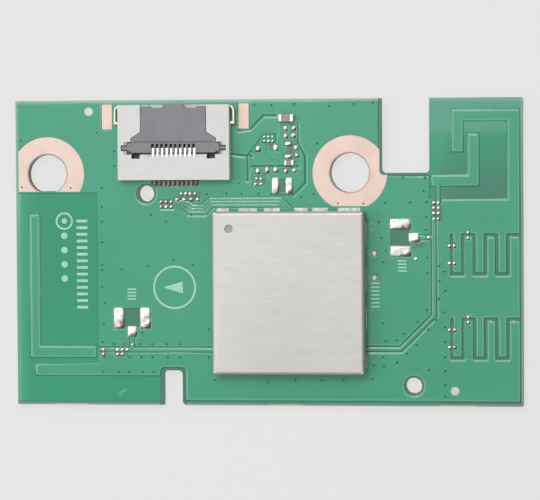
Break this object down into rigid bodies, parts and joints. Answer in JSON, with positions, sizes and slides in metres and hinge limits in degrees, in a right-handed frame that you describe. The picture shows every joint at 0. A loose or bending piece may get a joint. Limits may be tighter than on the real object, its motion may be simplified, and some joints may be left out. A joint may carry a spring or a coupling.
{
  "type": "wifi module",
  "caption": "Small printed board with two printed antennas, a soldered shield can over its radio parts, and a flip-lock connector for a flat cable.",
  "frame": {"origin": "middle of the board's outline, on the board's underside", "axes": "+X along the board's length towards the tab with the right antenna, +Y towards the edge where the flat cable leaves, +Z out of the side with the components"},
  "size_m": [0.055, 0.033, 0.0033],
  "materials": {
    "laminate": "solder mask over glass-fibre laminate, semi-gloss",
    "masked_copper": "solder mask over copper, semi-gloss",
    "bare_copper": "bare copper with a thin preservative, satin",
    "solder": "tin solder, bright",
    "shield_steel": "tinned sheet steel, fine rolled grain",
    "moulded_black": "moulded epoxy, matt",
    "ceramic": "fired ceramic, satin",
    "ferrite": "pressed ferrite, matt",
    "white_plastic": "white high-temperature plastic, satin",
    "grey_plastic": "grey high-temperature plastic, satin",
    "contact_metal": "plated spring bronze, bright",
    "ink": "printed ink, matt"
  },
  "bodies": {
    "board": {"board": "laminate", "ground_foil": "masked_copper", "left_antenna": "masked_copper", "right_antenna": "masked_copper", "left_feed_line": "masked_copper", "right_feed_line": "masked_copper", "data_lines": "masked_copper", "left_screw_land": "bare_copper", "right_screw_land": "bare_copper", "connector_lands": "bare_copper", "fiducials": "bare_copper", "test_points": "bare_copper", "tinned_lands": "solder", "left_probe_lands": "solder", "right_probe_lands": "solder", "inductor_lands": "solder", "shield_lands": "solder", "shield_can": "shield_steel", "radio_chip": "moulded_black", "radio_chip_leads": "solder", "crystal_base": "ceramic", "crystal_lid": "shield_steel", "power_inductor": "ferrite", "inductor_ends": "solder", "antenna_amplifiers": "moulded_black", "memory_chip": "moulded_black", "supply_capacitors": "ceramic", "supply_capacitor_ends": "solder", "connector_housing": "white_plastic", "connector_contacts": "contact_metal", "left_solder_clip": "contact_metal", "right_solder_clip": "contact_metal", "input_capacitor": "ceramic", "input_capacitor_ends": "solder", "filter_capacitor": "ceramic", "filter_capacitor_ends": "solder", "legend": "ink"},
    "latch": {"connector_latch": "grey_plastic"}
  },
  "joints": [
    {"name": "latch_flip", "type": "hinge", "parent": "board", "child": "latch", "pos_m": [-0.00992, 0.01132, 0.00226], "axis": [1, 0, 0], "range_deg": [0, 90]}
  ]
}
